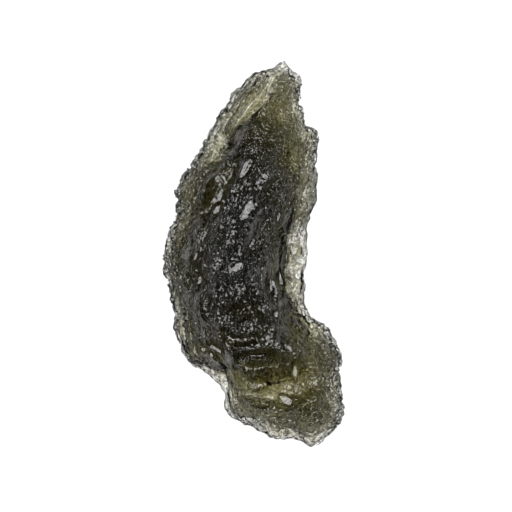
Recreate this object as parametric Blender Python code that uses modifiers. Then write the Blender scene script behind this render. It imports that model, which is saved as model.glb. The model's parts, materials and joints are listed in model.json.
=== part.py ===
"""Moldavite: one curved splinter of natural olive green glass, lying on its flatter side.

Metres, +Z up. The stone rests on Z = 0 with its pointed tip towards +Y, and its origin is the middle of its
base. Lists of places are in millimetres, as measured on the stone, and MM turns them into metres.
"""

import math
import random

import bmesh
import bpy
import numpy as np
from mathutils import Vector, kdtree, noise

MM = 0.001

# Driving dimensions, in millimetres
RIM_THICKNESS = 0.45  # the edge all round
SHOULDER = 1.0  # how far inside the edge its shoulder lies
OUTSET = 0.22  # the blank is this much wider all round than the finished edge
SLAB_THICKNESS = 1.0  # of the flat blank that is swelled into the stone
BLANK_CELL = 0.35  # mesh size of the blank
RELIEF_CELL = 0.27  # mesh size while the surface is carved
REST_CUT = 0.3  # how deep the worn spots that it rests on are ground
FACE_LIMIT = 9600  # triangles of the finished solid
TAPER = 3.0  # stone thinner than this is carved less deeply
END_TAPER = 3.0  # a step fades out over a third of its length at each end

# The edge seen from above, clockwise from the tip
OUTLINE = (
    (3.1, 19.4), (3.6, 18.8), (4.1, 18.2), (4.7, 18.1), (4.8, 17.7), (4.5, 16.5), (4.5, 15.6), (4.8, 14.5),
    (5.3, 13.3), (5.6, 12.6), (6.0, 12.7), (6.3, 12.1), (6.5, 11.5), (6.2, 10.6), (6.3, 8.3), (6.2, 5.7),
    (5.7, 4.3), (5.3, 3.3), (5.2, 0.9), (5.1, -0.9), (4.8, -2.2), (5.0, -3.1), (4.9, -5.0), (5.4, -6.0),
    (6.3, -6.7), (7.3, -7.3), (7.7, -8.1), (8.4, -9.2), (8.9, -10.8), (8.6, -11.9), (8.6, -12.9),
    (8.9, -14.6), (9.1, -15.5), (8.7, -16.4), (8.4, -17.4), (7.7, -18.0), (6.6, -18.9), (5.9, -19.4),
    (4.7, -18.7), (3.6, -18.4), (2.1, -18.5), (0.8, -17.9), (-0.4, -17.2), (-1.1, -17.0), (-2.8, -15.9),
    (-2.9, -14.2), (-3.2, -13.3), (-4.1, -12.4), (-4.9, -11.7), (-6.4, -10.9), (-6.9, -10.2), (-7.3, -9.2),
    (-7.8, -8.2), (-8.0, -7.2), (-7.8, -6.3), (-8.3, -4.6), (-8.6, -2.8), (-9.0, -1.6), (-9.1, -0.8),
    (-8.8, 0.6), (-8.6, 1.9), (-7.9, 3.5), (-7.6, 4.5), (-7.8, 6.4), (-7.5, 7.2), (-6.4, 8.9), (-5.5, 9.9),
    (-5.1, 11.3), (-4.2, 12.4), (-3.5, 14.1), (-2.7, 14.9), (-2.3, 15.9), (-1.0, 17.1), (-0.2, 17.9),
    (0.6, 18.4), (1.7, 18.4), (2.4, 18.9),
)  # fmt: skip

# The edge: (x, y, height of its middle, how much higher the top and how much lower the underside
# are SHOULDER inside it)
RIM = (
    (3.1, 19.4, 2.6, 0.4, 0.2), (4.6, 15.6, 2.8, 1.0, 0.6), (6.4, 11.8, 2.9, 0.8, 0.6),
    (6.3, 7.0, 3.2, 0.35, 0.3), (5.2, 0.0, 3.2, 0.3, 0.25), (4.9, -4.4, 3.2, 0.4, 0.35),
    (6.6, -7.0, 3.1, 1.0, 0.7), (8.9, -11.0, 3.0, 0.9, 0.7), (9.0, -15.5, 2.8, 0.8, 0.6),
    (5.9, -19.4, 2.2, 0.5, 0.3), (0.8, -17.9, 2.4, 0.45, 0.35), (-2.9, -15.0, 2.6, 0.5, 0.3),
    (-4.0, -12.6, 2.8, 0.3, 0.2), (-6.5, -10.8, 3.0, 0.8, 0.7), (-8.0, -6.5, 3.2, 1.1, 0.8),
    (-9.1, -0.8, 3.4, 1.1, 0.8), (-7.7, 6.0, 3.1, 1.1, 0.8), (-5.3, 10.2, 2.9, 0.7, 0.5),
    (-3.0, 14.6, 2.6, 0.6, 0.5), (-0.2, 17.9, 2.4, 0.6, 0.4),
)  # fmt: skip

# The stone's body at chosen spots: (x, y, height of the top, height of the underside)
SPOTS = (
    (3.2, 17.2, 4.3, 1.5), (0.6, 16.6, 3.6, 1.3), (-1.9, 14.0, 3.7, 1.4), (3.0, 15.0, 5.2, 1.5),
    (0.2, 14.2, 5.8, 1.2), (4.2, 12.6, 5.1, 1.6), (2.0, 12.0, 6.4, 1.2), (-0.9, 12.0, 7.2, 0.8),
    (4.8, 9.8, 4.7, 1.9), (0.6, 8.0, 8.3, 0.0), (3.2, 7.0, 6.7, 0.8), (-3.2, 8.2, 7.1, 1.0),
    (4.5, 6.2, 4.0, 2.7), (-2.0, 4.6, 9.0, 0.25), (-4.6, 5.4, 7.5, 0.4), (-6.2, 6.8, 5.6, 1.5),
    (1.4, 3.4, 8.8, 0.35), (2.7, 3.6, 6.7, 0.7), (3.8, 3.4, 3.9, 2.7), (-2.6, 0.0, 9.4, 0.2),
    (-5.6, 0.4, 7.8, 0.0), (-7.5, 0.0, 5.8, 1.5), (0.8, -1.4, 8.8, 0.2), (1.9, -1.4, 6.9, 0.4),
    (3.0, -1.4, 3.9, 2.7), (3.1, -3.6, 4.1, 2.5), (1.9, -4.6, 7.3, 0.4), (-3.0, -4.2, 9.0, 0.1),
    (-6.2, -4.6, 7.1, 0.6), (-0.2, -5.6, 8.2, 0.0), (2.8, -6.6, 6.7, 0.7), (-4.8, -8.0, 7.1, 0.1),
    (-1.4, -8.6, 7.7, 0.1), (1.6, -9.0, 7.4, 0.0), (-3.6, -10.6, 5.9, 1.1), (5.0, -8.6, 5.6, 1.1),
    (6.8, -10.8, 5.4, 1.3), (3.6, -10.8, 6.2, 0.8), (0.4, -11.0, 6.4, 0.7), (-1.6, -13.0, 4.6, 1.5),
    (1.4, -13.8, 4.4, 1.1), (4.4, -13.4, 4.6, 1.1), (6.8, -13.8, 5.4, 1.2), (0.4, -15.6, 5.5, 1.0),
    (3.6, -15.9, 5.7, 0.9), (6.8, -15.8, 5.4, 1.2), (2.2, -17.2, 4.0, 1.2), (5.6, -17.7, 4.1, 1.2),
    (-1.4, -15.2, 4.3, 1.5), (1.9, 0.6, 7.0, 0.7), (3.1, 1.2, 3.9, 2.7),
)  # fmt: skip

# Which way the glass once flowed: (x, y, degrees from +X)
FLOW = (
    (2.0, 15.0, 58), (-2.5, 13.0, 57), (4.5, 11.0, 68), (0.0, 8.0, 60), (-5.0, 6.0, 62), (5.5, 4.0, 84),
    (0.0, 2.5, 58), (-7.5, 1.0, 82), (3.8, -1.5, 92), (-2.0, -2.5, 54), (-6.5, -3.0, 96), (-6.0, -7.0, 112),
    (-3.8, -9.8, 127), (-2.4, -13.0, 98), (0.0, -11.0, 101), (3.0, -11.5, 89), (5.8, -8.8, 152),
    (6.6, -11.5, 158), (1.0, -16.0, 150), (5.5, -15.5, 30), (1.5, -7.0, 40),
)  # fmt: skip

# Long hollows cut in the top: (points along it, half width, depth)
HOLLOWS = (
    (((2.2, 17.9), (0.8, 16.3), (-0.9, 14.3), (-2.3, 12.3)), 0.8, 1.9),
    (((-3.1, 12.4), (-3.7, 10.7), (-4.5, 8.8)), 0.8, 1.5),
    (((-2.2, -13.2), (1.0, -13.8), (3.6, -13.5), (5.6, -12.4), (6.6, -11.4)), 1.4, 0.6),
    (((-5.8, -6.6), (-4.4, -8.6), (-3.2, -10.8), (-2.5, -13.2)), 0.8, 0.7),
    (((-5.6, 2.0), (-5.9, -1.6), (-6.3, -4.8)), 1.0, 0.6),
    (((-6.2, 6.2), (-7.0, 4.0)), 0.8, 0.5),
)  # fmt: skip

# Steps in the top, steep to the right of the way each one runs: (points along it, drop,
# steep width, rise behind it)
STEPS = (
    (((1.0, 15.4), (0.4, 14.0), (-0.8, 12.6), (-1.6, 11.4)), -0.7, 0.8, 0.8),
    (((-0.2, 9.5), (-1.4, 7.5), (-2.6, 5.7), (-3.6, 3.9), (-4.4, 2.1)), 1.4, 1.0, 1.9),
    (((-1.8, -0.4), (-1.1, 1.1), (-0.4, 2.4), (0.2, 3.7), (1.0, 5.0)), 1.4, 1.1, 1.5),
    (((-0.4, 5.1), (1.0, 6.5), (2.0, 8.3)), 0.6, 0.6, 0.9),
    (((-5.8, 3.2), (-5.1, 5.5), (-4.8, 7.0), (-4.2, 8.7)), 0.9, 0.9, 1.2),
    (((-2.2, -9.4), (-0.4, -9.3), (1.6, -9.2), (2.9, -9.6)), 1.6, 1.0, 1.6),
    (((3.4, -14.8), (1.4, -14.9), (-0.4, -14.7), (-1.8, -14.1)), 0.8, 0.5, 1.2),
    (((-2.7, -4.9), (-0.9, -4.9), (0.4, -4.4)), 0.7, 0.6, 0.8),
    (((-4.5, -7.1), (-2.9, -7.1), (-1.9, -7.9), (0.8, -7.5)), 0.6, 0.6, 0.9),
    (((-5.0, -8.6), (-5.6, -4.0), (-5.5, 0.9), (-4.7, 2.9)), 0.5, 0.6, 1.0),
    (((4.6, -9.4), (5.0, -7.4), (3.2, -5.8)), 0.5, 0.7, 0.8),
)  # fmt: skip

# Burst gas bubbles: (x, y, radius, 1 on the top or -1 on the underside)
BUBBLES = (
    (-1.9, 3.2, 0.5, 1), (-6.0, 7.1, 0.7, 1), (5.1, 11.6, 0.9, 1), (2.7, 13.5, 0.5, 1), (2.3, -3.8, 0.8, 1),
    (-7.7, -1.4, 0.9, 1), (7.1, -12.6, 1.0, 1), (3.1, -14.6, 0.7, 1), (0.8, 4.2, 1.0, -1),
    (-3.6, 2.2, 0.6, -1), (-1.2, -7.4, 0.9, -1), (3.4, -12.2, 1.1, -1), (2.2, 11.0, 0.7, -1),
    (-5.7, -5.6, 0.8, -1), (6.4, -15.2, 0.6, -1),
)  # fmt: skip

SCALLOP_SIZES = ((3.2, 0.45), (1.6, 0.28))  # (width, depth) of the close-set round hollows
SCALLOP_REACH = 0.8  # of a hollow's width, from its middle to its crests
BUBBLE_DEPTH = 0.5  # of a bubble's radius
PATH_STEP = 0.2  # between the points along a hollow
PATH_ENDS = 4  # a hollow fades out over a quarter of its length at each end
SOFTENING = 0.5  # of the blend between the flow directions, in square millimetres
RIBS = {"count": 150, "half_width": 0.5, "depth": 0.28, "length": (3.0, 8.0), "step": 0.3, "seed": 5}
SKIN = 0.2  # the body is this much thicker all round before it is carved
THIN_SHARE = 0.15  # of the full relief, where the stone is thinnest
GLASS_COLOUR = (0.115, 0.108, 0.055, 1.0)
GLASS_ROUGHNESS = 0.25


def clear_scene():
    """Empties the scene and makes two collections, one for the stone and one for cutters and guides."""
    for obj in list(bpy.data.objects):
        bpy.data.objects.remove(obj, do_unlink=True)
    collections = [bpy.data.collections.new(name) for name in ("moldavite", "cutters")]
    for collection in collections:
        bpy.context.scene.collection.children.link(collection)
    return collections


def as_guide(obj, cutters):
    """Puts a cutter or a guide with the others, out of renders."""
    cutters.objects.link(obj)
    obj.hide_render = True
    obj.display_type = "WIRE"


def points_of(mesh):
    """The mesh's points in millimetres."""
    flat = np.empty(len(mesh.vertices) * 3)
    mesh.vertices.foreach_get("co", flat)
    return flat.reshape(-1, 3) / MM


def set_points(mesh, points):
    mesh.vertices.foreach_set("co", (points * MM).ravel())
    mesh.update()


def normals_of(mesh):
    flat = np.empty(len(mesh.vertices) * 3)
    mesh.vertices.foreach_get("normal", flat)
    return flat.reshape(-1, 3)


def remeshed(obj, cell):
    """Gives obj an even mesh of square cells of that size in millimetres."""
    modifier = obj.modifiers.new("even mesh", "REMESH")
    modifier.mode = "VOXEL"
    modifier.voxel_size = cell * MM
    take_modifiers(obj)


def take_modifiers(obj):
    """Makes obj's mesh what its modifiers give, and removes them."""
    graph = bpy.context.evaluated_depsgraph_get()
    old = obj.data
    obj.data = bpy.data.meshes.new_from_object(obj.evaluated_get(graph))
    obj.modifiers.clear()
    bpy.data.meshes.remove(old)


def wider(outline, distance):
    """The clockwise outline moved outwards by a distance."""
    points = np.array(outline)
    along = np.roll(points, -1, axis=0) - np.roll(points, 1, axis=0)
    outwards = np.column_stack([-along[:, 1], along[:, 0]])
    return points + distance * outwards / np.linalg.norm(outwards, axis=1)[:, None]


def blank(collection, cutters):
    """The flat blank: the outline as a filled curve, extruded, then made an even mesh."""
    curve = bpy.data.curves.new("outline", "CURVE")
    curve.dimensions = "2D"
    curve.fill_mode = "BOTH"
    curve.extrude = SLAB_THICKNESS / 2 * MM
    spline = curve.splines.new("POLY")
    spline.points.add(len(OUTLINE) - 1)
    for point, (x, y) in zip(spline.points, wider(OUTLINE, OUTSET)):
        point.co = (x * MM, y * MM, 0, 1)
    spline.use_cyclic_u = True
    guide = bpy.data.objects.new("outline", curve)
    as_guide(guide, cutters)
    graph = bpy.context.evaluated_depsgraph_get()
    mesh = bpy.data.meshes.new_from_object(guide.evaluated_get(graph))
    bpy.data.objects.remove(guide)
    cleaned = bmesh.new()
    cleaned.from_mesh(mesh)
    bmesh.ops.remove_doubles(cleaned, verts=cleaned.verts, dist=0.01 * MM)
    bmesh.ops.recalc_face_normals(cleaned, faces=cleaned.faces)
    cleaned.to_mesh(mesh)
    cleaned.free()
    stone = bpy.data.objects.new("moldavite", mesh)
    collection.objects.link(stone)
    remeshed(stone, BLANK_CELL)
    return stone


def bending(r):
    """The height of a thin plate at distance r from a point that lifts it."""
    return np.where(r > 0, r * r * np.log(np.maximum(r, 1e-9)), 0.0)


def thin_plate(places, heights):
    """A smooth sheet through heights at places, as a function of an array of (x, y)."""
    count = len(places)
    apart = np.linalg.norm(places[:, None] - places[None], axis=2)
    flat = np.column_stack([np.ones(count), places])
    system = np.block([[bending(apart), flat], [flat.T, np.zeros((3, 3))]])
    weights = np.linalg.solve(system, np.concatenate([heights, np.zeros(3)]))

    def height(xy):
        apart = np.linalg.norm(xy[:, None] - places[None], axis=2)
        return bending(apart) @ weights[:count] + weights[count] + xy @ weights[count + 1 :]

    return height


def near_rim(places):
    """The edge's height and the rise and fall to its shoulder at places, blended from those given in RIM."""
    known = np.array(RIM)
    apart = np.linalg.norm(places[:, None] - known[None, :, :2], axis=2)
    share = 1 / (apart + 0.1) ** 2
    return (share @ known[:, 2:] / share.sum(axis=1)[:, None]).T


def sheets():
    """The top and the underside as two smooth sheets that meet at the rim."""
    edge = wider(OUTLINE, OUTSET)
    shoulder = wider(OUTLINE, OUTSET - SHOULDER)
    rim, rise, fall = near_rim(edge)
    spots = np.array(SPOTS)
    places = np.vstack([edge, shoulder, spots[:, :2]])
    half = RIM_THICKNESS / 2
    top = thin_plate(places, np.concatenate([rim + half, rim + half + rise, spots[:, 2]]))
    underside = thin_plate(places, np.concatenate([rim - half, rim - half - fall, spots[:, 3]]))
    return top, underside


def swell(stone, top, underside):
    """Lifts the blank's upper face to the top sheet and its lower face to the underside."""
    points = points_of(stone.data)
    share = np.clip(points[:, 2] / SLAB_THICKNESS + 0.5, 0, 1)
    low = underside(points[:, :2])
    high = np.maximum(top(points[:, :2]), low + RIM_THICKNESS)
    points[:, 2] = low + (high - low) * share
    set_points(stone.data, points)


def flow_direction(x, y):
    """The unit direction of the flow lines at a place, blended from those given in FLOW."""
    across = 0.0
    along = 0.0
    for at_x, at_y, degrees in FLOW:
        share = 1 / ((x - at_x) ** 2 + (y - at_y) ** 2 + SOFTENING) ** 1.5
        across += share * math.cos(math.radians(2 * degrees))
        along += share * math.sin(math.radians(2 * degrees))
    angle = math.atan2(along, across) / 2
    return math.cos(angle), math.sin(angle)


def rib_lines(side):
    """Lines that follow the flow, as lists of (x, y, share of full depth)."""
    draw = random.Random(RIBS["seed"] + side)
    low = np.min(OUTLINE, axis=0)
    high = np.max(OUTLINE, axis=0)
    lines = []
    for _ in range(RIBS["count"]):
        x = draw.uniform(low[0], high[0])
        y = draw.uniform(low[1], high[1])
        steps = int(draw.uniform(*RIBS["length"]) / RIBS["step"])
        line = []
        for n in range(steps):
            line.append((x, y, math.sin(math.pi * (n + 0.5) / steps) ** 0.5))
            step_x, step_y = flow_direction(x, y)
            x += RIBS["step"] * step_x
            y += RIBS["step"] * step_y
        lines.append(line)
    return lines


def lookup(line):
    """A search tree of the points of one or more lines."""
    tree = kdtree.KDTree(len(line))
    for n, point in enumerate(line):
        tree.insert((point[0], point[1], 0), n)
    tree.balance()
    return tree


def along_path(corners):
    """Points at even steps along straight runs between corners, with the share of full depth."""
    runs = [(Vector(a), Vector(b)) for a, b in zip(corners, corners[1:])]
    whole = sum((b - a).length for a, b in runs)
    gone = 0.0
    line = []
    for a, b in runs:
        steps = max(1, round((b - a).length / PATH_STEP))
        for n in range(steps):
            point = a.lerp(b, n / steps)
            share = (gone + (b - a).length * n / steps) / whole
            line.append((point.x, point.y, min(1, PATH_ENDS * share, PATH_ENDS * (1 - share))))
        gone += (b - a).length
    return line


def bell(distance, half_width):
    """1 on the line, falling smoothly to 0 at half_width."""
    t = min(1.0, distance / half_width)
    return (1 - t * t) ** 2


def carve_lines(points, side_of, depths, lines, side, half_width, depth):
    """Adds to depths the groove that each line cuts on one side of the stone."""
    line = [point for each in lines for point in each]
    tree = lookup(line)
    for n in np.nonzero(side_of == side)[0]:
        _, nearest, distance = tree.find((points[n, 0], points[n, 1], 0))
        if distance < half_width:
            depths[n] += depth * line[nearest][2] * bell(distance, half_width)


def smooth_step(t):
    """0 below 0, 1 above 1, and a smooth rise between."""
    t = np.clip(t, 0, 1)
    return t * t * (3 - 2 * t)


def past_path(points, corners):
    """How far each point is to the right of a path, left negative, and the share of its length there."""
    nearest = np.full(len(points), np.inf)
    past = np.zeros(len(points))
    share = np.zeros(len(points))
    whole = sum(math.dist(a, b) for a, b in zip(corners, corners[1:]))
    gone = 0.0
    for a, b in zip(corners, corners[1:]):
        length = math.dist(a, b)
        along = (np.array(b) - a) / length
        offset = points[:, :2] - a
        run = np.clip(offset @ along, 0, length)
        apart = np.linalg.norm(offset - run[:, None] * along, axis=1)
        side = np.sign(offset[:, 0] * along[1] - offset[:, 1] * along[0])
        nearer = apart < nearest
        nearest[nearer] = apart[nearer]
        past[nearer] = (apart * side)[nearer]
        share[nearer] = (gone + run[nearer]) / whole
        gone += length
    return past, share


def step_depths(points):
    """How far the steps lower each point."""
    depths = np.zeros(len(points))
    for corners, drop, steep, rise in STEPS:
        past, share = past_path(points, corners)
        ends = smooth_step(END_TAPER * share) * smooth_step(END_TAPER * (1 - share))
        depths += drop * ends * smooth_step(past / steep) * (1 - smooth_step((past - steep) / rise))
    return depths


def scallops(point, cell, depth, turn):
    """How deep a field of close-set round hollows is at a point. Its crests are sharp."""
    place = Vector(point) / cell + Vector(turn)
    near = noise.voronoi(place)[0][0]
    return depth * (1 - min(1.0, near / SCALLOP_REACH) ** 2)


def carve(stone, top, underside):
    """Cuts the relief: hollows, steps, flow ribs, scallops and bubbles."""
    points = points_of(stone.data)
    normals = normals_of(stone.data)
    side_of = np.where(normals[:, 2] >= 0, 1, -1)
    depths = np.full(len(points), -SKIN)
    thickness = top(points[:, :2]) - underside(points[:, :2])
    tapered = np.clip(thickness / TAPER, THIN_SHARE, 1.0)
    for corners, half_width, depth in HOLLOWS:
        carve_lines(points, side_of, depths, [along_path(corners)], 1, half_width, depth)
    depths += np.where(side_of == 1, step_depths(points), 0)
    for side in (1, -1):
        carve_lines(points, side_of, depths, rib_lines(side), side, RIBS["half_width"], RIBS["depth"])
    for n, point in enumerate(points):
        for turn, (cell, depth) in enumerate(SCALLOP_SIZES):
            depths[n] += scallops(point, cell, depth, (7.3 * turn, 2.1, 0.4))
    depths *= tapered
    for x, y, radius, side in BUBBLES:
        apart = np.hypot(points[:, 0] - x, points[:, 1] - y)
        cup = BUBBLE_DEPTH * np.sqrt(np.maximum(radius * radius - apart * apart, 0))
        depths += np.where(side_of == side, cup, 0)
    set_points(stone.data, points - normals * depths[:, None])


def thin_out(stone):
    """Collapses the carved mesh to the face limit. It keeps most faces where the surface bends."""
    modifier = stone.modifiers.new("fewer faces", "DECIMATE")
    triangles = sum(len(face.vertices) - 2 for face in stone.data.polygons)
    modifier.ratio = FACE_LIMIT / triangles
    take_modifiers(stone)


def grind_rests(stone, cutters):
    """Cuts the lowest spots off level, and moves the stone so that it rests on Z = 0 about the origin."""
    points = points_of(stone.data)
    level = points[:, 2].min() + REST_CUT
    side = 2 * np.ptp(points, axis=0).max()
    block = bmesh.new()
    bmesh.ops.create_cube(block, size=side * MM)
    below = bpy.data.objects.new("ground off", bpy.data.meshes.new("ground off"))
    block.to_mesh(below.data)
    block.free()
    below.location.z = (level - side / 2) * MM
    as_guide(below, cutters)
    modifier = stone.modifiers.new("level rests", "BOOLEAN")
    modifier.operation = "DIFFERENCE"
    modifier.solver = "EXACT"
    modifier.object = below
    take_modifiers(stone)
    bpy.data.objects.remove(below)
    points = points_of(stone.data)
    low, high = points.min(axis=0), points.max(axis=0)
    middle = np.array([(low[0] + high[0]) / 2, (low[1] + high[1]) / 2, low[2]])
    set_points(stone.data, points - middle)


def glass():
    """Olive green natural glass, dark where it is thick."""
    material = bpy.data.materials.new("moldavite glass")
    material.use_nodes = True
    shader = material.node_tree.nodes["Principled BSDF"]
    shader.inputs["Base Color"].default_value = GLASS_COLOUR
    shader.inputs["Roughness"].default_value = GLASS_ROUGHNESS
    shader.inputs["Metallic"].default_value = 0.0
    return material


def main():
    collection, cutters = clear_scene()
    stone = blank(collection, cutters)
    top, underside = sheets()
    swell(stone, top, underside)
    remeshed(stone, RELIEF_CELL)
    carve(stone, top, underside)
    thin_out(stone)
    grind_rests(stone, cutters)
    stone.data.materials.clear()
    stone.data.materials.append(glass())


main()
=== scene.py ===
import json
import math

import bpy
import numpy as np
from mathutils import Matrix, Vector, noise
from mathutils.bvhtree import BVHTree
from mathutils.kdtree import KDTree

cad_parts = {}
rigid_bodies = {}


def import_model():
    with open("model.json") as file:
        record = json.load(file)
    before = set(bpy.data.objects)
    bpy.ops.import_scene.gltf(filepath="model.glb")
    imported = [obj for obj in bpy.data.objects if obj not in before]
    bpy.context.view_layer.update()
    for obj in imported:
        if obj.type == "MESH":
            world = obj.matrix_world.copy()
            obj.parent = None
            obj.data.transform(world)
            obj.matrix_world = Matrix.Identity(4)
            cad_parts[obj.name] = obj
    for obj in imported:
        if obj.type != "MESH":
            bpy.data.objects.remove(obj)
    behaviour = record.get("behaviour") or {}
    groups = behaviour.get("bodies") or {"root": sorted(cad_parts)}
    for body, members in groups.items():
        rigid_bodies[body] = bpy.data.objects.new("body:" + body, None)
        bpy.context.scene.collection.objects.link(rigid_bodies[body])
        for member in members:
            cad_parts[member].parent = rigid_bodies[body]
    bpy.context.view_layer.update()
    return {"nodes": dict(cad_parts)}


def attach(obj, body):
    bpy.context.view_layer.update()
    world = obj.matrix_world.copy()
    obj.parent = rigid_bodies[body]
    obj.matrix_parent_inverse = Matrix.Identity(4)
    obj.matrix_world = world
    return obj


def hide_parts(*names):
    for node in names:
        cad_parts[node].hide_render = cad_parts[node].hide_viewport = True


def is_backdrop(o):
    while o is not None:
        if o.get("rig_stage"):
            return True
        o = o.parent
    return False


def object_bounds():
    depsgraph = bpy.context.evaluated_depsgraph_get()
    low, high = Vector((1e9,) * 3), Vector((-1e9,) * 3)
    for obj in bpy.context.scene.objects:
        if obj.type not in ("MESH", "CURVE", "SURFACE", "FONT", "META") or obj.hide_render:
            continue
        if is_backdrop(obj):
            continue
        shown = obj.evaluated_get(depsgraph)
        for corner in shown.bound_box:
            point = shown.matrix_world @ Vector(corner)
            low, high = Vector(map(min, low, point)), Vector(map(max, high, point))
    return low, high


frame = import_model()
mm = 0.001


def selectOnly(obj):
    bpy.ops.object.select_all(action="DESELECT")
    obj.select_set(True)
    bpy.context.view_layer.objects.active = obj


def applyModifier(obj, kind, **values):
    selectOnly(obj)
    modifier = obj.modifiers.new(kind.lower(), kind)
    for name, value in values.items():
        setattr(modifier, name, value)
    bpy.ops.object.modifier_apply(modifier=modifier.name)


# Places are in millimetres, as on the solid: +Y to the tip, the base at 0
stoneForm = {
    "firstCell": 0.16,  # even mesh for the broad cuts
    "cell": 0.105,  # even mesh for the fine relief
    "smoothing": 0.5,
    "facetRounds": 8,  # how often the solid's facets are smoothed out
    "cutRounds": 2,  # and the small steps of the second mesh
    "welds": 0.000001,  # points of the solid closer than this, in metres, are one
    "triangles": 196000,
    "sharpFrom": 45,  # degrees between faces from which a crest shows sharp
    # how sharply each kind of cut fades at its sides and at its ends
    "sideFades": {"troughs": 1.4, "thinSpots": 1.3},
    "endFades": {"streaks": 8, "troughs": 6, "steps": 5},
    "streakFloor": 0.15,  # half width of the level floor of a streak
    # flow grooves that leave thin glass: points, reach to the left, reach to the right, glass left
    "streaks": [
        (((2.3, 17.9), (1.3, 16.9), (0.2, 15.4), (-0.9, 14.3), (-2.2, 12.3)), 0.4, 0.5, 1.5),
        (((-2.8, 12.6), (-3.3, 11.4), (-3.9, 10.2), (-4.6, 8.9)), 0.4, 0.5, 1.6),
    ],
    "troughs": [  # smooth hollows: points, half width, glass left
        (((-1.6, -13.4), (0.6, -13.7), (3.2, -13.7), (5.4, -13.0)), 1.5, 2.8),
    ],
    # each has a steep dark side to the right of the way it runs: points, drop, its width, rise behind it
    "steps": [
        (((-0.2, 9.5), (-1.4, 7.5), (-2.6, 5.7), (-3.6, 3.9), (-4.4, 2.1)), 0.5, 0.8, 1.4),
        (((-1.8, -0.4), (-1.1, 1.1), (-0.4, 2.4), (0.2, 3.7), (1.0, 5.0)), 0.5, 0.9, 1.2),
        (((-0.4, 5.1), (1.0, 6.5), (2.0, 8.3)), 0.3, 0.5, 0.8),
        (((-5.8, 3.2), (-5.1, 5.5), (-4.8, 7.0), (-4.2, 8.7)), 0.3, 0.7, 1.0),
        (((-2.2, -9.4), (-0.4, -9.3), (1.6, -9.2), (2.9, -9.6)), 0.7, 0.8, 1.3),
        (((3.4, -14.8), (1.4, -14.9), (-0.4, -14.7), (-1.8, -14.1)), 0.4, 0.4, 1.0),
        (((-2.7, -4.9), (-0.9, -4.9), (0.4, -4.4)), 0.4, 0.5, 0.7),
        (((-4.5, -7.1), (-2.9, -7.1), (-1.9, -7.9), (0.8, -7.5)), 0.3, 0.5, 0.8),
        (((-5.0, -8.6), (-5.6, -4.0), (-5.5, 0.9), (-4.7, 2.9)), 0.25, 0.5, 0.9),
        (((-1.8, -12.0), (-2.4, -11.2), (-3.6, -9.8), (-5.4, -8.8)), 0.35, 0.4, 0.7),
        (((-2.7, -12.6), (-3.2, -11.4), (-4.4, -10.2), (-6.0, -9.2)), 0.35, 0.4, 0.7),
        (((4.6, -9.4), (5.0, -7.4), (3.2, -5.8)), 0.3, 0.6, 0.8),
        (((-1.2, 13.6), (-0.6, 12.4), (-1.6, 10.6), (-2.6, 9.4)), 0.8, 0.8, 1.2),
        (((2.6, 4.6), (3.2, 2.0), (2.9, -1.4), (3.2, -4.0)), 0.3, 0.5, 0.8),
    ],
    "stepsFadeFrom": 3,  # thinner glass than this has lower steps
    "wallFades": (0.2, 0.3),  # over which the smooth finish of a step's wall starts and ends
    "levelled": 0.9,  # how near to level the flats are
    "flatEdge": (1.15, 2.6),  # where a flat ends, in half widths, and how sharply
    "flats": [  # near level glossy spots: x, y, half length, half width, degrees from +X, pits left on it
        (-0.8, 4.15, 1.5, 0.62, 58, 0.15), (-2.1, 1.95, 1.3, 0.7, 55, 0.5),
        (0.8, 7.2, 1.5, 0.55, 58, 0.5), (-3.6, -1.0, 1.0, 0.65, 50, 0.6),
        (-1.7, -1.3, 0.75, 0.5, 35, 0.1), (-1.7, -3.8, 1.3, 0.8, 40, 0.6),
        (-3.3, -6.3, 1.1, 0.5, 10, 0.7), (-0.4, -7.1, 1.2, 0.75, 30, 0.7), (2.2, -6.0, 0.5, 0.5, 0, 0.2),
        (-0.2, 10.3, 1.1, 0.6, 58, 0.6), (-0.8, 8.4, 1.5, 0.5, 60, 0.4), (4.1, -11.8, 1.2, 0.42, 92, 0.0),
        (3.2, -14.6, 1.0, 0.5, -30, 0.0), (7.9, -13.6, 2.0, 0.8, 95, 0.8),
        (6.2, -12.8, 0.5, 0.4, 60, 0.3), (1.9, -3.6, 1.5, 0.65, 105, 0.5), (-6.2, 6.6, 1.1, 0.5, 70, 0.7),
        (-3.7, 4.4, 0.8, 0.4, 50, 0.6), (-5.2, 2.0, 1.1, 0.7, 80, 0.7), (1.1, -5.0, 0.9, 0.2, 45, 0.0),
        (0.8, 1.2, 0.5, 0.4, 50, 0.5), (2.4, 3.6, 0.8, 0.4, 60, 0.7), (3.0, 9.6, 1.0, 0.5, 60, 0.9),
        (3.9, -5.2, 0.7, 0.16, 60, 0.0),
    ],
    "thinSpots": [  # clear patches: x, y, radius, glass left
        (3.1, 18.9, 1.0, 0.5), (4.8, 1.2, 0.7, 0.5), (4.6, -0.6, 0.8, 0.45), (4.3, -2.2, 0.8, 0.5),
        (-3.0, -13.9, 1.0, 0.8), (-3.6, -12.4, 0.9, 0.8), (0.8, -17.4, 0.9, 1.2), (3.0, -18.0, 1.0, 1.1),
        (5.4, -18.5, 1.1, 1.2), (3.6, 14.2, 2.2, 2.8), (4.4, 9.8, 2.0, 2.8),
    ],
}


rays = {
    "startsIn": 0.02,  # a ray into the glass starts this far inside it
    "startsOut": 0.03,  # and one past the edge this far outside
    "longest": 20,
}


def pointsOf(mesh):
    flat = np.empty(len(mesh.vertices) * 3)
    mesh.vertices.foreach_get("co", flat)
    return flat.reshape(-1, 3) / mm


def normalsOf(mesh):
    flat = np.empty(len(mesh.vertices) * 3)
    mesh.vertices.foreach_get("normal", flat)
    return flat.reshape(-1, 3)


def setPoints(mesh, points):
    mesh.vertices.foreach_set("co", (points * mm).ravel())
    mesh.update()


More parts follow.
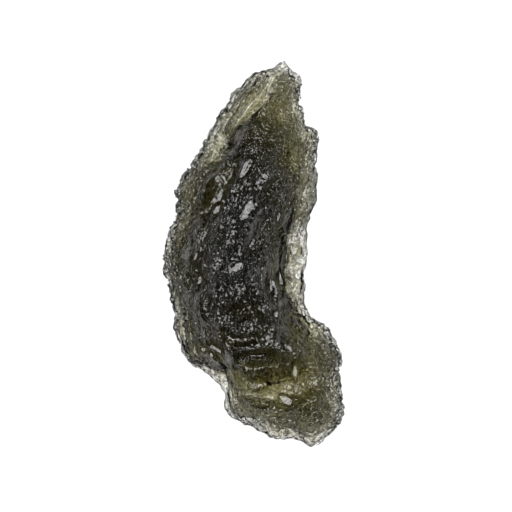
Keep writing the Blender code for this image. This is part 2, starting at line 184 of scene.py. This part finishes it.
def glassAlong(obj, points, ways):
    # how much glass lies beyond each point in the way given for it
    tree = BVHTree.FromObject(obj, bpy.context.evaluated_depsgraph_get())
    deep = np.zeros(len(points))
    for n, way in enumerate(ways):
        way = Vector(way)
        start = Vector(points[n]) * mm + way * rays["startsIn"] * mm
        hit = tree.ray_cast(start, way, rays["longest"] * mm)
        if hit[0] is not None:
            deep[n] = hit[3] / mm
    return deep


def distanceTo(points, x, y):
    return np.hypot(points[:, 0] - x, points[:, 1] - y)


def distanceToPath(points, path):
    # distance to the path, which side of it, and the share of its length
    best = np.full(len(points), 1e9)
    side = np.zeros(len(points))
    share = np.zeros(len(points))
    lengths = [math.dist(a, b) for a, b in zip(path, path[1:])]
    gone = 0.0
    for (a, b), length in zip(zip(path, path[1:]), lengths):
        along = np.array([b[0] - a[0], b[1] - a[1]]) / length
        offset = points[:, :2] - np.array(a)
        t = np.clip(offset @ along, 0, length)
        apart = np.hypot(offset[:, 0] - t * along[0], offset[:, 1] - t * along[1])
        nearer = apart < best
        best[nearer] = apart[nearer]
        side[nearer] = np.sign(offset[nearer, 0] * along[1] - offset[nearer, 1] * along[0])
        share[nearer] = (gone + t[nearer]) / sum(lengths)
        gone += length
    return best, side, share


def smoothStep(t):
    t = np.clip(t, 0, 1)
    return t * t * (3 - 2 * t)


def fadedEnds(weight, share, sharpness):
    # the weight, fading to 0 at both ends of a path
    return weight * smoothStep(share * sharpness) * smoothStep((1 - share) * sharpness)


flowField = {
    "guides": [  # which way the glass once flowed: x, y, degrees from +X
        (2.0, 15.0, 58), (-2.5, 13.0, 57), (4.5, 11.0, 68), (0.0, 8.0, 60), (-5.0, 6.0, 62),
        (5.5, 4.0, 84), (0.0, 2.5, 58), (-7.5, 1.0, 82), (3.8, -1.5, 92), (-2.0, -2.5, 54),
        (-6.5, -3.0, 96), (-6.0, -7.0, 112), (-3.8, -9.8, 127), (-2.4, -13.0, 98), (0.0, -11.0, 101),
        (3.0, -11.5, 89), (5.8, -8.8, 152), (6.6, -11.5, 158), (1.0, -16.0, 150), (5.5, -15.5, 30),
        (1.5, -7.0, 40),
    ],
    "evenness": 0.5,  # how smoothly one guide blends into the next
    "size": (9, 19),  # half the sheet's width and length
    "spotsApart": 1.0,  # places where the flow is worked out
    "waves": (10, 20),  # half the width and length that the round waves of the sheets cover
    "wavesApart": 2.5,
    "waveWidth": 3.4,
}


def gridOf(halfWidth, halfLength, apart):
    x, y = np.meshgrid(
        np.arange(-halfWidth, halfWidth + 0.1, apart), np.arange(-halfLength, halfLength + 0.1, apart)
    )
    return np.column_stack([x.ravel(), y.ravel()])


def flowCoordinates(points):
    # two smooth sheets over the stone: one grows along the flow, the other across it
    spots = gridOf(*flowField["size"], flowField["spotsApart"])
    turn = np.zeros((len(spots), 2))
    for x, y, degrees in flowField["guides"]:
        weight = 1 / (((spots - (x, y)) ** 2).sum(axis=1) + flowField["evenness"]) ** 1.5
        turn[:, 0] += weight * math.cos(math.radians(2 * degrees))
        turn[:, 1] += weight * math.sin(math.radians(2 * degrees))
    angle = np.arctan2(turn[:, 1], turn[:, 0]) / 2
    angle = np.where(angle < 0, angle + math.pi, angle)
    centres = gridOf(*flowField["waves"], flowField["wavesApart"])
    width = flowField["waveWidth"]

    def waves(at):
        apart = at[:, None] - centres[None]
        return np.exp(-(apart**2).sum(axis=2) / (2 * width**2)), apart

    value, apart = waves(spots)
    slopes = np.vstack([-apart[:, :, 0] / width**2 * value, -apart[:, :, 1] / width**2 * value])
    flat = np.zeros((len(spots), 1))
    slopes = np.hstack([slopes, np.vstack([flat + 1, flat]), np.vstack([flat, flat + 1])])
    along = np.concatenate([np.cos(angle), np.sin(angle)])
    across = np.concatenate([-np.sin(angle), np.cos(angle)])
    found = [np.linalg.lstsq(slopes, wanted, rcond=1e-6)[0] for wanted in (along, across)]
    value = waves(points[:, :2])[0]
    return [value @ f[:-2] + points[:, 0] * f[-2] + points[:, 1] * f[-1] for f in found]


def stepCuts(points):
    # how far the steps lower the top, and how smooth their steep sides are
    cut = np.zeros(len(points))
    calm = np.zeros(len(points))
    onset, offset = stoneForm["wallFades"]
    for path, drop, steep, rise in stoneForm["steps"]:
        apart, side, share = distanceToPath(points, path)
        past = apart * side
        ends = fadedEnds(1, share, stoneForm["endFades"]["steps"])
        cut += drop * ends * smoothStep(past / steep) * (1 - smoothStep((past - steep) / rise))
        onWall = smoothStep((past + onset / 2) / onset) * (1 - smoothStep((past - steep) / offset))
        calm = np.maximum(calm, ends * onWall)
    return cut, calm


def flatShare(points, x, y, halfLength, halfWidth, degrees):
    # 1 inside the spot, falling to 0 at its edge
    turn = math.radians(degrees)
    offset = points[:, :2] - (x, y)
    along = offset @ (math.cos(turn), math.sin(turn)) / halfLength
    across = offset @ (-math.sin(turn), math.cos(turn)) / halfWidth
    edge, sharpness = stoneForm["flatEdge"]
    return smoothStep((edge - np.hypot(along, across)) * sharpness)


def broadCuts(stone):
    points = pointsOf(stone.data)
    normals = normalsOf(stone.data)
    onTop = normals[:, 2] > 0
    deep = np.zeros(len(points))
    deep[onTop] = glassAlong(stone, points[onTop], np.tile((0, 0, -1), (onTop.sum(), 1)))
    cut = np.zeros(len(points))
    sideFades, endFades = stoneForm["sideFades"], stoneForm["endFades"]
    for path, leftReach, rightReach, left in stoneForm["streaks"]:
        apart, side, share = distanceToPath(points, path)
        reach = np.where(side > 0, rightReach, leftReach)
        weight = smoothStep((reach - apart) / (reach - stoneForm["streakFloor"]))
        weight = fadedEnds(weight, share, endFades["streaks"])
        cut = np.maximum(cut, weight * np.maximum(deep - left, 0))
    for path, halfWidth, left in stoneForm["troughs"]:
        apart, _, share = distanceToPath(points, path)
        weight = smoothStep((halfWidth - apart) / halfWidth * sideFades["troughs"])
        weight = fadedEnds(weight, share, endFades["troughs"])
        cut = np.maximum(cut, weight * np.maximum(deep - left, 0))
    for x, y, radius, left in stoneForm["thinSpots"]:
        apart = distanceTo(points, x, y)
        weight = smoothStep((radius - apart) / radius * sideFades["thinSpots"])
        cut = np.maximum(cut, weight * np.maximum(deep - left, 0))
    cut += stepCuts(points)[0] * np.clip((deep - cut) / stoneForm["stepsFadeFrom"], 0, 1)
    points[onTop, 2] -= cut[onTop]
    for x, y, halfLength, halfWidth, degrees, _ in stoneForm["flats"]:
        weight = flatShare(points, x, y, halfLength, halfWidth, degrees) * onTop
        level = (points[:, 2] * weight).sum() / weight.sum()
        points[:, 2] += weight * stoneForm["levelled"] * (level - points[:, 2])
    setPoints(stone.data, points)


stoneRim = {
    "uprightTo": 0.5,  # the normal of a point on the rim rises less than this
    "edge": 0.05,  # thickness of the very edge
    "outset": 0.2,  # the edge is drawn out this far
    "reach": 0.8,  # how far in the edge is thinned
    "fade": 3,  # how sharply that ends
    "corner": 4,  # the higher, the sharper the line where the wedge meets the old side
    "leastRise": 0.02,  # points nearer than this to the middle of the edge keep their height
    "blend": 0.5,  # reach over which the height of the edge's middle is evened out
    "evenness": 0.1,  # how smoothly one slope blends into the next
    "slopes": [  # x, y, rise of each face to a millimetre inwards
        (3.1, 19.4, 0.5), (4.6, 16.0, 1.3), (6.3, 12.0, 1.1), (6.4, 7.0, 0.8), (5.2, 0.0, 0.5),
        (4.9, -4.4, 0.8), (6.6, -7.0, 1.3), (8.9, -11.0, 1.2), (9.0, -15.5, 1.1), (5.9, -19.4, 0.7),
        (0.8, -17.9, 0.7), (-2.9, -15.0, 0.6), (-4.0, -12.6, 0.5), (-6.5, -10.8, 1.1), (-8.0, -6.5, 1.5),
        (-9.1, -0.8, 1.5), (-7.7, 6.0, 1.3), (-5.3, 10.2, 1.1), (-3.0, 14.6, 1.0), (-0.2, 17.9, 1.0),
    ],
    "nicks": ((0.9, 0.16), (0.4, 0.07)),  # how far apart the small breaks in the edge are, and how deep
    "nickReach": 0.7,
    "nickLayer": 3.3,  # the level at which the cells are cut to break the edge
    "notches": [(3.95, 18.5, 1.4, 0.35), (5.7, 13.1, 1.0, 0.2)],  # x, y, reach, depth
}


def rimPoints(stone):
    # the points that show against the floor from above: place, height of the edge's middle, way out
    points = pointsOf(stone.data)
    normals = normalsOf(stone.data)
    tree = BVHTree.FromObject(stone, bpy.context.evaluated_depsgraph_get())
    found = []
    for n in np.nonzero(np.abs(normals[:, 2]) < stoneRim["uprightTo"])[0]:
        out = Vector((normals[n, 0], normals[n, 1], 0)).normalized()
        start = (Vector(points[n]) + out * rays["startsOut"]) * mm
        ways = Vector((0, 0, -1)), Vector((0, 0, 1))
        if all(tree.ray_cast(start, way, rays["longest"] * mm)[0] is None for way in ways):
            found.append((*points[n], out.x, out.y))
    found = np.array(found)
    near = flatTree(found)
    middles = []
    for x, y, *_ in found:
        around = [n for _, n, _ in near.find_range((x, y, 0), stoneRim["blend"])]
        middles.append((found[around, 2].max() + found[around, 2].min()) / 2)
    found[:, 2] = middles
    return found


def flatTree(places):
    tree = KDTree(len(places))
    for n, place in enumerate(places):
        tree.insert((place[0], place[1], 0), n)
    tree.balance()
    return tree


def sharpenRim(stone):
    # thins the edge to a wedge and breaks small nicks out of it
    rim = rimPoints(stone)
    near = flatTree(rim)
    points = pointsOf(stone.data)
    slopes = np.array(stoneRim["slopes"])
    corner = stoneRim["corner"]
    for n, point in enumerate(points):
        _, which, apart = near.find((point[0], point[1], 0))
        if apart > stoneRim["reach"]:
            continue
        x, y, middle, outX, outY = rim[which]
        weight = 1 / (distanceTo(slopes, x, y) + stoneRim["evenness"]) ** 2
        slope = weight @ slopes[:, 2] / weight.sum()
        most = stoneRim["edge"] / 2 + slope * apart
        rise = abs(point[2] - middle)
        if rise > stoneRim["leastRise"]:
            kept = (rise**-corner + most**-corner) ** (-1 / corner)  # the lesser, rounded off
            fade = min(1, stoneRim["fade"] * (1 - apart / stoneRim["reach"]))
            points[n, 2] += (kept - rise) * fade * math.copysign(1, point[2] - middle)
        drawn = stoneRim["outset"] * (1 - apart / stoneRim["reach"])
        points[n, 0] += outX * drawn
        points[n, 1] += outY * drawn
        if apart < stoneRim["nickReach"]:
            inwards = (1 - apart / stoneRim["nickReach"]) ** 2
            for width, depth in stoneRim["nicks"]:
                cup = cells([Vector((x, y, stoneRim["nickLayer"])) / width])[0]
                points[n, 0] -= outX * depth * cup * inwards
                points[n, 1] -= outY * depth * cup * inwards
    for x, y, reach, depth in stoneRim["notches"]:
        _, which, _ = near.find((x, y, 0))
        apart = distanceTo(points, x, y)
        points[:, :2] -= np.outer(depth * np.clip(1 - apart / reach, 0, 1), rim[which][3:5])
    setPoints(stone.data, points)
    print("stone: rim sharpened from", len(rim), "points")


stoneRelief = {
    "topFrom": 0.2,  # the normals of the top rise more than this
    # length along the flow, width, height of the cells, depth, shift of the pattern
    "pits": [(1.6, 0.95, 1.0, 0.2, 0), (0.62, 0.42, 0.46, 0.19, 11.3)],
    "flutes": [(3.4, 0.4, 0.8, 0.13, 5.7)],
    "evenness": 0.3,  # how smoothly one spot blends into the next
    # x, y, share of the pits, share of the flutes, how much light the etched skin lets through
    "spots": [
        (3.1, 19.0, 0.4, 0.3, 0.66), (3.4, 17.0, 1.2, 0.3, 0.55), (3.0, 14.0, 0.9, 0.4, 0.98),
        (4.8, 13.4, 1.0, 0.3, 0.55), (0.5, 16.9, 0.3, 1.0, 0.6), (-1.4, 15.8, 0.5, 1.1, 0.4),
        (0.2, 15.2, 0.1, 1.0, 0.68), (-3.6, 11.0, 0.2, 0.9, 0.6), (-4.8, 11.2, 0.6, 1.1, 0.36),
        (0.5, 11.5, 1.0, 0.9, 0.66), (2.8, 11.6, 1.1, 0.3, 1.0), (5.6, 11.0, 1.0, 0.3, 0.48),
        (3.0, 9.6, 1.1, 0.3, 1.0), (5.6, 6.5, 0.12, 0.3, 0.32), (4.4, 3.0, 0.15, 0.4, 0.3),
        (4.9, 0.2, 0.12, 0.3, 0.62), (4.6, -2.0, 0.15, 0.4, 0.62), (3.5, 0.6, 0.2, 0.5, 0.36),
        (3.4, -2.4, 0.3, 0.5, 0.42), (2.8, 6.0, 1.0, 0.4, 0.6), (-6.4, 7.0, 1.2, 0.3, 0.55),
        (-2.6, 7.5, 0.5, 1.1, 0.5), (-8.0, 1.0, 1.2, 0.4, 0.56), (-6.2, 0.0, 0.15, 0.5, 0.6),
        (-4.0, 2.0, 0.95, 0.9, 0.6), (0.0, 5.5, 0.9, 0.9, 0.6), (1.0, 1.0, 1.0, 0.8, 0.6),
        (-3.5, -1.5, 0.9, 1.1, 0.6), (-1.0, -3.5, 1.1, 0.8, 0.6), (1.8, -2.4, 0.4, 0.8, 0.6),
        (-7.2, -5.0, 0.7, 0.8, 0.6), (-6.4, -8.0, 0.5, 1.0, 0.6), (-4.0, -6.0, 1.0, 0.4, 0.6),
        (0.0, -7.0, 1.1, 0.4, 0.6), (2.0, -8.8, 0.4, 0.4, 0.6), (-3.9, -10.0, 0.12, 1.1, 0.6),
        (-2.8, -13.0, 0.3, 1.0, 0.68), (0.4, -10.6, 0.3, 0.8, 0.6), (0.8, -12.0, 0.15, 1.3, 0.75),
        (3.2, -11.8, 0.2, 1.3, 0.95), (5.0, -8.4, 0.7, 0.4, 0.9), (7.6, -9.5, 1.2, 0.3, 0.45),
        (5.4, -11.0, 0.5, 0.6, 0.95), (8.2, -13.0, 1.2, 0.3, 0.48), (2.0, -13.7, 0.03, 0.1, 0.78),
        (4.2, -13.4, 0.7, 0.1, 0.78), (0.5, -15.8, 1.0, 1.2, 0.4), (4.0, -16.2, 1.0, 1.0, 0.4),
        (7.8, -16.5, 1.0, 0.5, 0.5), (3.0, -18.2, 0.5, 0.7, 0.66), (6.0, -18.4, 0.6, 0.5, 0.6),
        (-1.6, 11.0, 1.9, 0.5, 0.3), (-2.6, 9.4, 0.8, 0.5, 0.36), (-3.6, 6.2, 0.5, 0.4, 0.3),
        (-4.6, 4.4, 0.5, 0.4, 0.34), (-4.9, 12.9, 0.6, 1.0, 0.36), (-6.9, 7.6, 1.2, 0.4, 0.34),
        (-8.8, -0.6, 1.2, 0.4, 0.32), (-7.9, -6.2, 1.0, 0.7, 0.32), (-5.6, -11.0, 0.4, 1.0, 0.4),
        (-2.4, -16.0, 0.5, 1.2, 0.42), (8.8, -10.8, 1.2, 0.3, 0.38), (8.8, -15.4, 1.2, 0.3, 0.42),
    ],
    "bubble": {  # the one round gas bubble pit
        "at": (-1.9, 3.2),
        "radius": 0.52,
        "depth": 0.4,
        "wall": 2.1,  # how steep its side is
        "apron": 1.3,  # radius of the smooth ground round it, in its own radii
        "apronFade": 5,
        "apronRelief": 0.2,  # share of the relief left there
    },
    "wallCalm": (0.8, 0.5),  # shares of the pits and of the flutes that the walls of steps lack
    "flatCalm": 0.7,  # and that of the flutes on the smoothest flats
    "thinFade": 1.4,  # thinner glass is cut less deeply
    "thinLeast": 0.15,  # share of the relief that the thinnest glass keeps
    "footFade": (0.05, 0.5),  # the relief starts this high above the table and is full this much higher
    "cellReach": 0.75,  # from a cell's middle to its crests, in cells
    "mapSize": 50,  # millimetres across the flow map
    "bandFades": (2, 8),  # how sharply they fade at their sides and at their ends
    "bands": [  # points, half width, share of the pits, share of the flutes, light through the skin (painted shade where a band darkens the notch below the ledge)
        (((2.3, 18.0), (1.3, 16.9), (0.2, 15.4), (-0.9, 14.3), (-2.3, 12.2)), 0.4, 0.1, 0.9, 0.86),
        (((-2.8, 12.6), (-3.3, 11.4), (-3.9, 10.2), (-4.7, 8.8)), 0.4, 0.2, 0.9, 0.6),
        (((1.6, 18.2), (0.0, 16.6), (-1.6, 14.9), (-2.8, 13.0)), 0.9, 0.4, 1.3, 0.5),
        # the notch below the ledge: its light through the skin is 0.12, which is painted shade
        (((-2.4, -9.9), (-0.2, -10.4), (2.6, -10.1)), 1.1, 1.3, 0.3, 0.12),
        (((-1.5, -14.5), (-0.4, -15.0)), 0.6, 0.5, 0.5, 0.3),
    ],
}


def shares(points):
    # the shares of pits and flutes, and the light that the skin lets through, blended between the spots,
    # then set along the bands, one of which paints shade into the notch below the ledge
    given = np.array(stoneRelief["spots"])
    found = np.zeros((len(points), 3))
    total = np.zeros(len(points))
    for x, y, *values in given:
        apart = (points[:, 0] - x) ** 2 + (points[:, 1] - y) ** 2
        weight = 1 / (apart + stoneRelief["evenness"]) ** 2
        found += weight[:, None] * np.array(values)
        total += weight
    found /= total[:, None]
    sideFade, endFade = stoneRelief["bandFades"]
    for path, halfWidth, *values in stoneRelief["bands"]:
        apart, _, share = distanceToPath(points, path)
        weight = fadedEnds(smoothStep((halfWidth - apart) / halfWidth * sideFade), share, endFade)
        found += weight[:, None] * (np.array(values) - found)
    return found.T


def cells(places):
    # hollows of round cells with sharp crests between them, 1 at the bottom and 0 at the crests
    near = np.array([noise.voronoi(Vector(place))[0][0] for place in places])
    return np.clip(1 - (near / stoneRelief["cellReach"]) ** 2, 0, 1)


def reliefShares(points, onTop):
    # the shares with the smooth walls and flats taken out
    pitShare, fluteShare, skinAndShade = shares(points)
    calm = stepCuts(points)[1] * onTop
    pitShare *= 1 - stoneRelief["wallCalm"][0] * calm
    fluteShare *= 1 - stoneRelief["wallCalm"][1] * calm
    for x, y, halfLength, halfWidth, degrees, pitsLeft in stoneForm["flats"]:
        weight = flatShare(points, x, y, halfLength, halfWidth, degrees) * onTop
        pitShare *= 1 - weight * (1 - pitsLeft)
        fluteShare *= 1 - stoneRelief["flatCalm"] * weight * (1 - pitsLeft)
    bubble = stoneRelief["bubble"]
    apart = distanceTo(points, *bubble["at"]) / bubble["radius"]
    bowl = onTop * smoothStep((bubble["apron"] - apart) * bubble["apronFade"])
    return pitShare * (1 - bowl), fluteShare * (1 - bowl), skinAndShade


def fineRelief(stone):
    points = pointsOf(stone.data)
    normals = normalsOf(stone.data)
    onTop = normals[:, 2] > stoneRelief["topFrom"]
    along, across = flowCoordinates(points)
    pitShare, fluteShare, _ = reliefShares(points, onTop)
    cut = np.zeros(len(points))
    for share, rows in ((pitShare, stoneRelief["pits"]), (fluteShare, stoneRelief["flutes"])):
        for length, width, height, depth, shift in rows:
            places = np.column_stack([along / length, across / width, points[:, 2] / height + shift])
            cut += share * depth * cells(places)
    deep = glassAlong(stone, points, -normals)
    cut *= np.clip(deep / stoneRelief["thinFade"], stoneRelief["thinLeast"], 1)
    foot, rise = stoneRelief["footFade"]
    cut *= smoothStep((points[:, 2] - foot) / rise)  # the level spots it rests on stay as they are
    bubble = stoneRelief["bubble"]
    radius = bubble["radius"]
    apart = distanceTo(points, *bubble["at"])
    inside = onTop & (apart < radius)
    onApron = onTop & (apart < radius * bubble["apron"])
    points -= normals * (cut * np.where(onApron, bubble["apronRelief"], 1))[:, None]
    floor = points[inside, 2].mean() - bubble["depth"]
    wall = np.clip((radius - apart) / radius * bubble["wall"], 0, 1)
    points[inside, 2] += (wall * (floor - points[:, 2]))[inside]
    setPoints(stone.data, points)


def finishMaps(stone):
    # a map whose first axis runs along the flow and second across it, and the shares of each finish
    mesh = stone.data
    points = pointsOf(mesh)
    along, across = flowCoordinates(points)
    layer = mesh.uv_layers.new(name="flow")
    corners = np.empty(len(mesh.loops), dtype=np.int32)
    mesh.loops.foreach_get("vertex_index", corners)
    flat = np.column_stack([along[corners], across[corners]]) / stoneRelief["mapSize"] + 0.5
    layer.data.foreach_set("uv", flat.ravel())
    onTop = normalsOf(mesh)[:, 2] > 0
    # the third attribute is the light through the etched skin, with the painted shade of the notch below
    # the ledge
    for name, values in zip(("pits", "combs", "skinAndShade"), reliefShares(points, onTop)):
        mesh.attributes.new(name, "FLOAT", "POINT").data.foreach_set("value", values)


def makeStone():
    selectOnly(frame["nodes"]["moldavite"])
    bpy.ops.object.duplicate()
    stone = bpy.context.view_layer.objects.active
    stone.name = "moldaviteStone"
    bpy.ops.object.parent_clear(type="CLEAR_KEEP_TRANSFORM")
    for key in [key for key in stone.keys() if key.startswith("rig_")]:
        del stone[key]
    selectOnly(stone)
    bpy.ops.object.mode_set(mode="EDIT")
    bpy.ops.mesh.select_all(action="SELECT")
    bpy.ops.mesh.remove_doubles(threshold=stoneForm["welds"])
    bpy.ops.object.mode_set(mode="OBJECT")
    applyModifier(stone, "REMESH", mode="VOXEL", voxel_size=stoneForm["firstCell"] * mm)
    applyModifier(stone, "SMOOTH", factor=stoneForm["smoothing"], iterations=stoneForm["facetRounds"])
    print("stone: solid copied and smoothed,", len(stone.data.polygons), "faces")
    broadCuts(stone)
    applyModifier(stone, "REMESH", mode="VOXEL", voxel_size=stoneForm["cell"] * mm)
    applyModifier(stone, "SMOOTH", factor=stoneForm["smoothing"], iterations=stoneForm["cutRounds"])
    print("stone: broad cuts made,", len(stone.data.polygons), "faces")
    sharpenRim(stone)
    fineRelief(stone)
    low, high = (np.array(corner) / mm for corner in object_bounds())
    setPoints(stone.data, np.clip(pointsOf(stone.data), low, high))
    triangles = sum(len(face.vertices) - 2 for face in stone.data.polygons)
    print("stone: relief carved,", triangles, "triangles")
    if triangles > stoneForm["triangles"]:
        applyModifier(stone, "DECIMATE", ratio=stoneForm["triangles"] / triangles)
    finishMaps(stone)
    selectOnly(stone)
    bpy.ops.object.shade_smooth_by_angle(angle=math.radians(stoneForm["sharpFrom"]))
    print("stone: finished,", len(stone.data.polygons), "faces")
    return stone


glassFinish = {
    "ior": 1.49,
    "absorbs": (0.40, 0.365, 0.0, 1),
    "density": 950,  # per metre
    "roughness": (0.05, 0.16),
    "pits": (0.4, 0.16),  # the smallest etch pits: how far apart and how deep, in mm
    "specks": (0.24, 0.03),
    "combs": (3.0, 0.38, 0.1),  # the finest flow lines: length, width, depth
    "crest": 0.6,  # height of the crests between cups of depth 1
    "etch": 4.5,  # uneven etch: how many swells in a mm
    "etchNoise": (0.35, 0.7),  # the noise between which it goes from smooth to rough
    "grain": 0.01,  # depth of the uneven etch, in mm
    "flecks": (3.2, 0.48, 1.4),  # etched flecks: how many in a mm, least and most light through them
    "fleckNoise": (0.35, 0.65),  # the noise between which they go from least to most
}


def mathNode(material, operation, first, second):
    # each value is a socket or a plain number
    node = material.node_tree.nodes.new("ShaderNodeMath")
    node.operation = operation
    for socket, value in zip(node.inputs, (first, second)):
        if isinstance(value, (int, float)):
            socket.default_value = value
        else:
            material.node_tree.links.new(value, socket)
    return node


def noiseNode(material, vector, often):
    node = material.node_tree.nodes.new("ShaderNodeTexNoise")
    node.inputs["Scale"].default_value = often
    node.inputs["Detail"].default_value = 1
    material.node_tree.links.new(vector, node.inputs["Vector"])
    return node.outputs["Fac"]


def rangeNode(material, value, fromRange, toRange):
    node = material.node_tree.nodes.new("ShaderNodeMapRange")
    for word, ends in (("From", fromRange), ("To", toRange)):
        node.inputs[word + " Min"].default_value = ends[0]
        node.inputs[word + " Max"].default_value = ends[1]
    material.node_tree.links.new(value, node.inputs["Value"])
    return node.outputs["Result"]


def cupNodes(material, vector, depth, share):
    # cups with sharp crests between them, as heights in millimetres
    cup = material.node_tree.nodes.new("ShaderNodeTexVoronoi")
    cup.inputs["Scale"].default_value = 1
    material.node_tree.links.new(vector, cup.inputs["Vector"])
    square = mathNode(material, "POWER", cup.outputs["Distance"], 2)
    deep = mathNode(material, "MULTIPLY", square.outputs["Value"], depth / glassFinish["crest"])
    return mathNode(material, "MULTIPLY", deep.outputs["Value"], share).outputs["Value"]


def mapped(material, vector, scale):
    mapping = material.node_tree.nodes.new("ShaderNodeMapping")
    mapping.inputs["Scale"].default_value = scale
    material.node_tree.links.new(vector, mapping.inputs["Vector"])
    return mapping.outputs["Vector"]


def attributeNode(material, name):
    node = material.node_tree.nodes.new("ShaderNodeAttribute")
    node.attribute_name = name
    return node.outputs["Fac"]


def glassMaterial():
    material = bpy.data.materials.new("oliveNaturalGlass")
    material.use_nodes = True
    nodes = material.node_tree.nodes
    link = material.node_tree.links.new
    shader = nodes["Principled BSDF"]
    shader.inputs["IOR"].default_value = glassFinish["ior"]
    shader.inputs["Transmission Weight"].default_value = 1
    place = nodes.new("ShaderNodeTexCoord").outputs["Object"]
    inMillimetres = mapped(material, place, [1 / mm] * 3)
    often, *lets = glassFinish["flecks"]
    flecks = rangeNode(material, noiseNode(material, inMillimetres, often), glassFinish["fleckNoise"], lets)
    # Base Color: light through the etched skin with random flecks, plus painted shade over the notch below
    # the ledge
    skinAndShade = mathNode(material, "MULTIPLY", attributeNode(material, "skinAndShade"), flecks)
    skinAndShade.use_clamp = True
    link(skinAndShade.outputs["Value"], shader.inputs["Base Color"])
    flow = nodes.new("ShaderNodeUVMap")
    flow.uv_map = "flow"
    pitShare = attributeNode(material, "pits")
    combShare = attributeNode(material, "combs")
    heights = []
    for name in ("pits", "specks"):
        apart, depth = glassFinish[name]
        heights.append(cupNodes(material, mapped(material, place, [1 / mm / apart] * 3), depth, pitShare))
    length, width, depth = glassFinish["combs"]
    size = stoneRelief["mapSize"]
    lines = mapped(material, flow.outputs["UV"], (size / length, size / width, 1))
    heights.append(cupNodes(material, lines, depth, combShare))
    etch = noiseNode(material, inMillimetres, glassFinish["etch"])
    heights.append(mathNode(material, "MULTIPLY", etch, glassFinish["grain"]).outputs["Value"])
    total = heights[0]
    for height in heights[1:]:
        total = mathNode(material, "ADD", total, height).outputs["Value"]
    bump = nodes.new("ShaderNodeBump")
    bump.inputs["Strength"].default_value = 1
    bump.inputs["Distance"].default_value = mm
    link(total, bump.inputs["Height"])
    link(bump.outputs["Normal"], shader.inputs["Normal"])
    gloss = rangeNode(material, etch, glassFinish["etchNoise"], glassFinish["roughness"])
    link(gloss, shader.inputs["Roughness"])
    inside = nodes.new("ShaderNodeVolumeAbsorption")
    inside.inputs["Color"].default_value = glassFinish["absorbs"]
    inside.inputs["Density"].default_value = glassFinish["density"]
    link(inside.outputs["Volume"], nodes["Material Output"].inputs["Volume"])
    return material


studio = {
    "middle": (0.20, -0.22),  # where the camera looks, in mm
    "frameWidth": 51.2,  # mm across the picture at the height of the stone's rim
    "rimHeight": 3.3,
    "lens": 150,
    "sensor": 36,
    "clip": (0.005, 20),  # metres
    "boxHeight": 2.0,  # metres
    "boxWidth": 2.3,
    "boxPower": 108,
    "tentHeight": 2.05,  # a wide dim cloth behind the box
    "tentWidth": 5.0,
    "tentPower": 4,
    "world": 0.09,
    "floorSize": 6,
    "gap": 0.00002,  # between the stone and the table
    "floor": 0.2,  # how much of the light the table's white cover throws back
    "glow": 0.85,  # and how much comes through it from below
    "paperRoughness": 0.9,
}


def makeStudio():
    x, y = (value * mm for value in studio["middle"])
    away = studio["frameWidth"] * mm * studio["lens"] / studio["sensor"]
    bpy.ops.object.camera_add(location=(x, y, away + studio["rimHeight"] * mm), rotation=(0, 0, 0))
    camera = bpy.context.object
    camera.name = "camera"
    camera.data.lens = studio["lens"]
    camera.data.clip_start, camera.data.clip_end = studio["clip"]
    bpy.context.scene.camera = camera
    for name in ("box", "tent"):
        bpy.ops.object.light_add(type="AREA", location=(x, y, studio[name + "Height"]), rotation=(0, 0, 0))
        light = bpy.context.object
        light.name = name
        light.data.shape = "DISK"
        light.data.size = studio[name + "Width"]
        light.data.energy = studio[name + "Power"]
    bpy.ops.mesh.primitive_plane_add(size=studio["floorSize"], location=(0, 0, -studio["gap"]))
    floor = bpy.context.object
    floor.name = "floor"
    paper = bpy.data.materials.new("whitePaper")
    paper.use_nodes = True
    shader = paper.node_tree.nodes["Principled BSDF"]
    shader.inputs["Base Color"].default_value = (studio["floor"], studio["floor"], studio["floor"], 1)
    shader.inputs["Roughness"].default_value = studio["paperRoughness"]
    shader.inputs["Specular IOR Level"].default_value = 0
    shader.inputs["Emission Color"].default_value = (1, 1, 1, 1)
    shader.inputs["Emission Strength"].default_value = studio["glow"]
    floor.data.materials.append(paper)
    floor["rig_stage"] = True
    world = bpy.data.worlds.new("studioAir")
    bpy.context.scene.world = world
    world.use_nodes = True
    world.node_tree.nodes["Background"].inputs["Color"].default_value = (1, 1, 1, 1)
    world.node_tree.nodes["Background"].inputs["Strength"].default_value = studio["world"]
    bpy.context.scene.view_settings.view_transform = "Standard"
    print("studio: camera, softbox and floor set")


stone = makeStone()
stone.data.materials.clear()
stone.data.materials.append(glassMaterial())
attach(stone, "root")
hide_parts("moldavite")
makeStudio()
